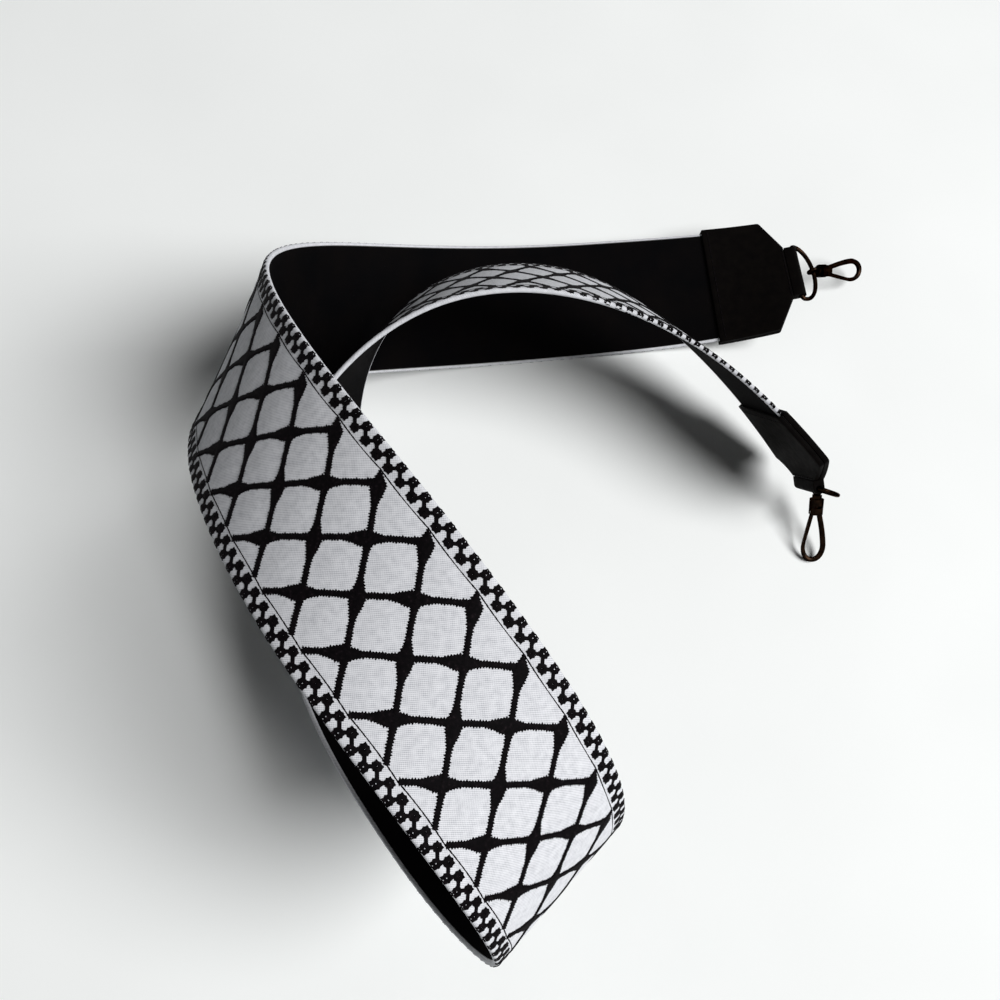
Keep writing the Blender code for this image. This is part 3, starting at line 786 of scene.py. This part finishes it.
@dataclass
class Embroidery:
    """Black satin stitch: a fishnet with spindle knots between two thin border lines."""

    band: Band
    pitch: float = 0.02176         # spacing of the lines along the strap
    first_v: float = 0.34296       # one line that starts on the right border line
    first_h: float = 0.34810       # one line that starts on the left border line
    border: float = 0.0238         # the thin border lines, from the middle
    lean: float = 0.0119           # a line crosses this much for half a pitch
    stop_h: float = 0.0202         # lines from the left stop this far right of the middle
    knot_v: float = 0.0036         # from the right border across to the first spindle
    knot_h: float = 0.0083         # and from the left border
    knot: float = 0.00275          # half width of a spindle
    knot_reach: float = 0.0062     # half length of a spindle
    line: float = 0.00118          # half width of a line
    fillet: float = 0.0004         # a line widens by this at a crossing: round corners
    fillet_reach: float = 0.0038
    tip: float = 0.00035           # half width of a line's narrow start
    tip_growth: float = 0.55       # how fast it widens from there
    stitch: float = 0.00084        # from one stitch to the next
    valley: float = 0.00044        # how far the edge draws in between two stitches
    uneven: float = 0.00014        # stitches stand out by this on one side
    ragged: float = 0.00010        # and by this on both
    bow: float = 0.00010           # a line wanders by this much
    bow_length: float = 0.01612
    height: float = 0.00042
    sunk: float = 0.00012          # the thread's foot lies this deep in the cloth
    puffed: float = 0.00026        # the middle of a cell stands this much higher
    puff_edge: float = 0.003       # and comes down over this much at the border
    thin: float = 0.00040          # half width of a border line
    thin_height: float = 0.00026
    scallop: float = 0.0004        # a border line draws in by this between two lines
    overrun: float = 0.01          # sewn this far past the cloth before it is trimmed
    tucked: float = 0.002          # thread that goes on inside a tab

    def __post_init__(self) -> None:
        """Work out the slope of the lines and the way from one crossing to the next."""
        self.slope = self.pitch / 2 / self.lean
        self.unit = math.hypot(self.pitch / 2, self.lean)

    def puff(self, s: np.ndarray, t: np.ndarray) -> np.ndarray:
        """Work out how far the cloth between the lines stands up.

        Args:
            s: places along the strap.
            t: distances across.

        Returns:
            Heights.
        """
        v = (s - self.first_v - (self.border - t) * self.slope) / self.pitch
        h = (s - self.first_h - (self.border + t) * self.slope) / self.pitch
        inside = np.clip((self.border - np.abs(t)) / self.puff_edge, 0, 1)
        return self.puffed * inside * (np.sin(math.pi * v) * np.sin(math.pi * h)) ** 2

    def half_width(self, along: np.ndarray, knots: Sequence[float],
                   growth: float) -> np.ndarray:
        """Work out a line's half width, swollen at its knots and crossings.

        Args:
            along: distances from its start.
            knots: distances from its start to its spindles.
            growth: how fast it widens from a narrow start; 0 for a plain start.

        Returns:
            Half widths.
        """
        width = np.full_like(along, self.line)
        for place in knots:
            far = np.clip(np.abs(along - place) / self.knot_reach, 0, 1)
            shape = 0.5 * (1 - far) + 0.25 * (1 + np.cos(math.pi * far))
            width = np.maximum(width, self.line + (self.knot - self.line) * shape)
        from_crossing = (along - knots[0] + self.unit / 2) % self.unit - self.unit / 2
        far = np.abs(from_crossing) / self.fillet_reach
        width = np.maximum(width, self.line + self.fillet * np.clip(1 - far, 0, 1))
        return np.minimum(width, self.tip + along * growth) if growth else width

    def satin(self, name: str, start: tuple[float, float], end: tuple[float, float],
              knots: Sequence[float], growth: float) -> Object:
        """Model one line of satin stitch flat.

        Args:
            name: name of the piece.
            start: along and across place of its start.
            end: along and across place of its end.
            knots: distances from its start to its spindles.
            growth: how fast it widens from a narrow start; 0 for a plain start.

        Returns:
            A closed ribbon of ridges, one for each stitch.
        """
        begin, finish = np.array(start), np.array(end)
        length = float(np.linalg.norm(finish - begin))
        axis = (finish - begin) / length
        side = np.array([-axis[1], axis[0]])
        rows = 2 * round(length / self.stitch)
        # the rounded section of a ridge: share of the half width, share of the height
        profile = np.array([(-1, 0), (-0.97, 0.55), (-0.5, 0.92), (0.5, 0.92), (0.97, 0.55),
                            (1, 0), (-1, 0)])
        ribbon, row, column = grid(name, rows, len(profile) - 1)
        number = np.rint(row).astype(int)
        across, rise = profile[np.rint(column).astype(int)].T
        ridge = number % 2
        along = row / rows * length
        # steps that never fall into time with the stitches stand for their unevenness
        uneven = self.uneven * np.sin(number * 2.399) * ridge * np.sign(across)
        ragged = self.ragged * np.sin(number * 1.713) * ridge + uneven
        width = self.half_width(along, knots, growth) - self.valley * (1 - ridge) + ragged
        shut = (number > 0) & (number < rows)
        bow = self.bow * np.sin(along / self.bow_length * 2 * math.pi)
        z = (self.height * (0.72 + 0.28 * ridge) + self.sunk) * rise * shut - self.sunk
        flat = begin + along[:, None] * axis + (across * width * shut + bow)[:, None] * side
        return close(ribbon, np.column_stack([flat, z]))

    def sew(self, item: Object) -> Object:
        """Trim a flat piece inside the tabs, lay it on the cloth and dress it.

        Args:
            item: thread modelled flat.

        Returns:
            The finished piece.
        """
        with editing(item):
            for place, way in ((-self.tucked, 1), (self.band.coil.length + self.tucked, -1)):
                bpy.ops.mesh.select_all(action="SELECT")
                bpy.ops.mesh.bisect(plane_co=(place, 0, 0), plane_no=(way, 0, 0),
                                    clear_inner=True, use_fill=True, threshold=MERGED / 2)
        self.band.coil.lay(item, self.band.section)
        return dress(item, THREAD, "strap", smooth=50)

    def shifts(self, start: float) -> list[tuple[float, float, float]]:
        """Repeat one line over the whole cloth.

        Args:
            start: where along the strap the line starts.

        Returns:
            Shift to every line that meets the cloth.
        """
        reach = 2 * self.pitch
        first = math.ceil((-reach - start) / self.pitch)
        last = math.floor((self.band.coil.length - start) / self.pitch)
        return [(index * self.pitch, 0.0, 0.0) for index in range(first, last + 1)]

    def build_net(self) -> None:
        """Model one line of each direction, repeat it and lay it on the cloth."""
        for name, start, end, knot, growth in (
                ("embroidery_net_v", (self.first_v, self.border),
                 (self.first_v + 2 * self.pitch, -self.border), self.knot_v, self.tip_growth),
                ("embroidery_net_h", (self.first_h, -self.border),
                 (self.first_h + (self.border + self.stop_h) * self.slope, self.stop_h),
                 self.knot_h, 0)):
            first = knot / self.lean * self.unit
            line = self.satin(name, start, end, (first, first + 2 * self.unit), growth)
            self.sew(copies(line, self.shifts(start[0])))

    def build_borders(self) -> None:
        """Model the thin border lines, drawn in a little between the lines of the net."""
        length = self.band.coil.length + 2 * self.overrun
        rows = round(length / self.stitch)
        profile = np.array([(-1, 0), (0, 1), (1, 0), (-1, 0)])
        for name, side, origin in (("embroidery_line_right", 1, self.first_v),
                                   ("embroidery_line_left", -1, self.first_h)):
            ridge, row, column = grid(name, rows, len(profile) - 1)
            s = row / rows * length - self.overrun
            phase = ((s - origin) / self.pitch) % 1
            middle = self.border - self.scallop * 4 * phase * (1 - phase)
            across, rise = profile[np.rint(column).astype(int)].T
            uneven = 1 + 0.2 * np.sin(row * 2.399)
            self.sew(close(ridge, np.column_stack([
                s, side * middle + across * self.thin * uneven,
                self.thin_height * rise - self.sunk])))

    def build(self) -> None:
        """Build all the stitching on the face cloth."""
        self.build_net()
        self.build_borders()
        Checks(self).build()


@dataclass
class Checks:
    """Two borders of staggered black squares, joined by bridges of thread."""

    net: Embroidery
    spacing: float = 0.00544       # from one square to the next along the strap
    half_along: float = 0.00156
    half_across: float = 0.00136
    serration: float = 0.11        # share by which the ends of the stitches stand out
    inner: float = 0.0257          # inner row, from the middle
    outer: float = 0.0285          # outer row, half round the edge
    bridge_end: float = 0.0281     # a bridge stops this side of the outer row
    bridge_half: float = 0.00056
    bridge_height: float = 0.00016
    askew: float = 0.14            # radians by which a square is turned at most
    # side, place of one inner square, and how far on the outer row is, in squares
    rows: tuple[tuple[int, float, float], ...] = ((1, 0.34420, 0.45), (-1, 0.34700, 0.60))
    # the cloth was turned over a little askew on the left: the outer squares draw back from
    # the rim in the return run, and run round it near end B
    drift_at: tuple[float, ...] = (0.62, 0.70, 0.95, 1.0)
    drift: tuple[float, ...] = (0.0, -0.6, -0.6, 1.0)
    # for a full drift: how far a square moves, and how much wider it is
    outwards: tuple[float, float] = (0.0014, 0.6)
    inwards: tuple[float, float] = (0.0007, 0.2)

    def square(self) -> Object:
        """Model one square of thread flat, its edge serrated by the ends of the stitches.

        Returns:
            The square, at the origin.
        """
        # share of the half size and height of each ring; the white ground shows through a
        # pinhole in the middle
        sunk = self.net.sunk
        rings = np.array([(0, -0.00006), (0.08, -0.00006), (0.2, 0.0003), (1, 0.00018),
                          (1.02, -sunk), (0, -sunk)])
        item, row, column = grid("embroidery_checks", len(rings) - 1, 16)
        number = np.rint(column).astype(int) % 16
        angle = number * math.pi / 8
        share, z = rings[np.rint(row).astype(int)].T
        corner = 1 / (np.abs(np.cos(angle)) ** 8 + np.abs(np.sin(angle)) ** 8) ** 0.125
        stands_out = np.where(number % 2, -1, 1) * (number % 4 != 2)
        edge = share * corner * (1.0 + self.serration * stands_out)
        return close(item, np.column_stack([self.half_along * edge * np.cos(angle),
                                            self.half_across * edge * np.sin(angle), z]))

    def places(self) -> tuple[list[Matrix], list[tuple[Vector, Vector]]]:
        """Find the place of every square, and of the bridges between them.

        Returns:
            Matrix of each square, and both ends of each bridge.
        """
        squares, links = [], []
        count = math.ceil(self.net.band.coil.length / self.spacing) + 1
        for side, inner_first, stagger in self.rows:
            start = inner_first - math.ceil(inner_first / self.spacing) * self.spacing
            for index in range(count):
                s = start + index * self.spacing
                # sines of the number, so that no two neighbours lie or measure the same
                askew = Matrix.Rotation(self.askew * math.sin(index * 2.4), 4, "Z")
                squares.append(Matrix.Translation((s, side * self.inner, 0.0)) @ askew
                               @ Matrix.Scale(1.04 + 0.07 * math.sin(index * 1.7), 4))
                outer = s + (stagger if side > 0 else stagger - 1) * self.spacing
                shift = float(np.interp(s, self.drift_at, self.drift)) if side < 0 else 0.0
                away, wider = self.outwards if shift > 0 else self.inwards
                middle = self.outer + away * shift
                wide = 1.0 + wider * shift
                squares.append(Matrix.Translation((outer, side * middle, 0.0))
                               @ Matrix.Diagonal((1.0, wide, 1.0, 1.0)) @ askew)
                links += [(Vector((s, side * self.inner, 0)),
                           Vector((far, side * self.bridge_end, 0)))
                          for far in (outer, outer - side * self.spacing)]
        return squares, links

    def build(self) -> None:
        """Repeat the square and the bridge along both borders."""
        square = self.square()
        squares, links = self.places()
        self.net.sew(copies(square, squares))
        bridge = box("embroidery_bridges", (-0.5, -self.bridge_half, -self.net.sunk),
                     (0.5, self.bridge_half, self.bridge_height))
        bridges = []
        for start, end in links:
            way = end - start
            turn = Matrix.Rotation(math.atan2(way.y, way.x), 4, "Z")
            bridges.append(Matrix.Translation((start + end) / 2) @ turn
                           @ Matrix.Diagonal((way.length, 1, 1, 1)))
        self.net.sew(copies(bridge, bridges))


# The leather tabs


@dataclass
class LeatherTab:
    """Leather that closes one end, tapers to a neck and loops round the ring's bar."""

    coil: Coil
    band: Band
    end: End
    overhang: float = 0.0015
    leather: float = 0.0012
    neck_half: float = 0.014
    corner: float = 0.002          # rounding of the shoulders
    edge: float = 0.00035          # rounding of the cut edges
    ring_wire: float = 0.0022
    seam: float = 0.003            # stitches from the mouth's edge
    neck_seam: float = 0.0012      # and from the start of the neck
    stitch: tuple[float, float, float] = (0.0003, 0.0011, 0.00022)    # half sizes
    stitch_pitch: float = 0.0032
    spare: float = 0.002           # a cutting tool reaches this far past the leather
    slice_along: float = 0.0015    # leather is sliced this finely, so that it bends
    slice_across: float = 0.004

    def __post_init__(self) -> None:
        """Work out the tab's thickness, its width and where its neck starts."""
        self.inside = self.band.level + self.band.cloth / 2 + self.band.gap
        self.half = self.inside + self.leather
        self.wide = self.band.half_width + self.overhang
        self.neck = self.coil.sleeve + self.coil.taper

    def outline(self) -> list[tuple[float, float]]:
        """Draw the outline from the mouth to the neck, its shoulders rounded.

        Returns:
            Points once round the tab.
        """
        edge = [(0.0, self.wide)]
        corner = Vector((self.coil.sleeve, self.wide))
        after = (Vector((self.neck, self.neck_half)) - corner).normalized()
        before = Vector((-1.0, 0.0))
        setback = self.corner / math.tan(before.angle(after) / 2)
        for share in range(5):
            a, b = corner + before * setback, corner + after * setback
            t = share / 4
            edge.append(tuple(a * (1 - t) ** 2 + corner * 2 * t * (1 - t) + b * t ** 2))
        edge += [(self.neck, self.neck_half), (self.coil.reach + 0.001, self.neck_half)]
        return edge + [(x, -y) for x, y in reversed(edge)]

    def blank(self, name: str) -> Object:
        """Cut the flat tab: a slab whose far end is rounded, trimmed to the outline.

        Args:
            name: name of the piece.

        Returns:
            The tab with its pocket for the band and its bore for the ring.
        """
        slab = box(name, (0, -self.wide - self.spare, -self.half),
                   (self.coil.reach, self.wide + self.spare, self.half))
        with editing(slab):
            bpy.ops.mesh.select_all(action="DESELECT")
        for edge in slab.data.edges:
            ends = [slab.data.vertices[index].co for index in edge.vertices]
            edge.select = (all(co.x > self.coil.reach - 0.0001 for co in ends)
                           and abs(ends[0].z - ends[1].z) < 0.0001)
        bpy.ops.object.mode_set(mode="EDIT")
        bpy.ops.mesh.select_mode(type="EDGE")
        bpy.ops.mesh.bevel(offset=self.half * 0.999, segments=10, affect="EDGES")
        outline = self.outline()
        deselect()
        bpy.ops.mesh.primitive_circle_add(vertices=len(outline), radius=1, fill_type="NGON")
        plan = bpy.context.object
        put_coordinates(plan, np.array([(x, y, -0.01) for x, y in outline]))
        with editing(plan):
            bpy.ops.mesh.extrude_region_move(TRANSFORM_OT_translate={"value": (0, 0, 0.02)})
            bpy.ops.mesh.select_all(action="SELECT")
            bpy.ops.mesh.normals_make_consistent(inside=False)
        cut(slab, plan, "INTERSECT")
        pocket = (self.band.tuck + self.band.gap, self.band.half_width + self.band.gap,
                  self.inside)
        cut(slab, box("pocket", (-self.spare, -pocket[1], -pocket[2]), pocket), "DIFFERENCE")
        bore = rod("bore", self.ring_wire / 2 + self.band.gap,
                   (self.coil.bar, -self.wide, 0), (self.coil.bar, self.wide, 0))
        return cut(slab, bore, "DIFFERENCE")

    def bend(self, item: Object) -> Object:
        """Round the cut edges, slice the leather finely and lay it on the coil.

        Args:
            item: leather cut flat.

        Returns:
            The leather in its place.
        """
        apply_modifier(item, "BEVEL", width=self.edge, segments=2, limit_method="ANGLE",
                       angle_limit=math.radians(50), use_clamp_overlap=True)
        slices = [((x, 0, 0), (1, 0, 0))
                  for x in np.arange(0.002, self.neck + 0.001, self.slice_along)]
        slices += [((0, y, 0), (0, 1, 0))
                   for y in np.arange(-0.028, 0.029, self.slice_across)]
        with editing(item):
            for place, way in slices:
                bpy.ops.mesh.select_all(action="SELECT")
                bpy.ops.mesh.bisect(plane_co=place, plane_no=way)
            bpy.ops.mesh.select_all(action="SELECT")
            bpy.ops.mesh.quads_convert_to_tris()
        return self.lay(item)

    def lay(self, item: Object) -> Object:
        """Lay a piece modelled from the mouth outwards on the coil at this end.

        Args:
            item: flat piece, its x counted from the mouth.

        Returns:
            The piece in its place.
        """
        places = coordinates(item)
        if self.end is End.A:
            places[:, 0] *= -1
            places[:, 1] *= -1
        else:
            places[:, 0] += self.coil.length
        put_coordinates(item, places)
        return self.coil.lay(item)

    def build_leather(self) -> None:
        """Build the outer leather with its loop, and the inner leather."""
        deep = self.half + self.spare
        wide = self.wide + 2 * self.spare
        slit = self.band.gap / 2
        for stem, far, low, high, operation in (
                ("tab_outer", self.neck, -deep, slit, "DIFFERENCE"),
                ("tab_inner", self.neck - self.band.gap, -deep, -slit, "INTERSECT")):
            leather = self.blank(f"{stem}_leather_{self.end.value}")
            tool = box("tool", (-self.spare, -wide, low), (far, wide, high))
            self.bend(cut(leather, tool, operation))
            dress(leather, LEATHER, "strap", [f"{stem}_{self.end.value}"])

    def build_stitches(self) -> None:
        """Sew through both leathers with short black stitches at the mouth and the neck."""
        half = Vector(self.stitch)
        stitch = box("tab_stitches_" + self.end.value, -half, half)
        apply_modifier(stitch, "BEVEL", width=0.0002, segments=2)
        places = []
        for x, reach in ((self.seam, self.wide - self.seam),
                         (self.neck - self.neck_seam, self.neck_half - 0.001)):
            pitch = 2 * reach / round(2 * reach / self.stitch_pitch)
            places += [(x, y, face * self.half)
                       for y in np.arange(-reach, reach + 0.0001, pitch) for face in (-1, 1)]
        seams = self.lay(copies(stitch, places))
        dress(seams, THREAD, "strap", smooth=50)

    def build(self) -> None:
        """Build the leather and its seams."""
        self.build_leather()
        self.build_stitches()


# The hardware


@dataclass
class Hardware:
    """D-ring, swivel eye, snap hook and gate of one end."""

    end: End

    def build(self) -> None:
        """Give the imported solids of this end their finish."""
        for stem in ("d_ring", "swivel_eye", "swivel_stud", "hook_body", "gate_lever",
                     "gate_pin", "gate_spring"):
            node = frame["nodes"][f"{stem}_{self.end.value}"]
            paint(node, SPRING if stem == "gate_spring" else NICKEL)
            LOG.info("%s keeps its packed shape", node.name)


# The studio


@dataclass
class Studio:
    """Paper ground, soft light from the upper right, and the camera."""

    coil: Coil
    ground: float = 8.0            # width of the paper
    key: float = 196.0             # watts of the soft box: the paper comes out white
    key_from: tuple[float, float, float] = (0.559, -0.182, 0.809)
    distance: float = 4.0
    softness: float = 2.6          # width of the soft box
    ambient: float = 0.05          # light that comes from all round
    lens: float = 32.93
    sensor: float = 36.0
    eye: tuple[float, float, float] = (-0.1556, -0.2605, 0.4101)    # from the coil's start
    tilt: tuple[float, float, float] = (18.47, -6.09, 0.0)

    def build(self) -> None:
        """Build the ground, the light, the backdrop and the camera."""
        deselect()
        bpy.ops.mesh.primitive_plane_add(size=self.ground)
        floor = bpy.context.object
        floor.name = "floor"
        paint(floor, PAPER)
        way = Vector(self.key_from).normalized()
        bpy.ops.object.light_add(type="AREA", location=way * self.distance)
        lamp = bpy.context.object
        lamp.name = "soft_box"
        lamp.data.shape = "DISK"
        lamp.data.size = self.softness
        lamp.data.energy = self.key
        lamp.rotation_euler = way.to_track_quat("Z", "Y").to_euler()
        self.build_world()
        bpy.ops.object.camera_add()
        camera = bpy.context.object
        camera.location = Vector(self.coil.rest) + Vector(self.eye)
        camera.rotation_euler = [math.radians(angle) for angle in self.tilt]
        camera.data.lens = self.lens
        camera.data.sensor_width = self.sensor
        camera.data.clip_start = 0.01
        bpy.context.scene.camera = camera
        bpy.context.scene.view_settings.view_transform = "Standard"

    def build_world(self) -> None:
        """Plain soft fill for the object, and white for the camera and for reflections."""
        world = bpy.data.worlds.new("white_room")
        bpy.context.scene.world = world
        world.use_nodes = True
        tree = world.node_tree
        tree.nodes.clear()
        path = add_node(tree, "LightPath").outputs
        seen = add_node(tree, "Math", {"operation": "MAXIMUM"},
                        {0: path["Is Camera Ray"], 1: path["Is Glossy Ray"]})
        seen = add_node(tree, "Math", {"operation": "MAXIMUM"},
                        {0: seen.outputs["Value"], 1: path["Is Transmission Ray"]})
        level = add_node(tree, "MapRange", {"To Min": self.ambient, "To Max": 1.0},
                         {"Value": seen.outputs["Value"]})
        white = add_node(tree, "Background", {"Color": srgb("#FFFFFF")},
                         {"Strength": level.outputs["Result"]})
        add_node(tree, "OutputWorld", links={"Surface": white.outputs["Background"]})


def main() -> None:
    """Build every piece in order."""
    logging.basicConfig(level=logging.INFO, format="%(message)s")
    coil = Coil()
    Studio(coil).build()
    band = Band(coil)
    embroidery = Embroidery(band)
    band.build(embroidery)
    embroidery.build()
    for end in End:
        LeatherTab(coil, band, end).build()
        Hardware(end).build()
    deselect()


MATERIALS = {finish.name: finish.make() for finish in
             (COTTON, THREAD, LINING, LEATHER, NICKEL, SPRING, FELT, PAPER)}

if __name__ == "__main__":
    main()
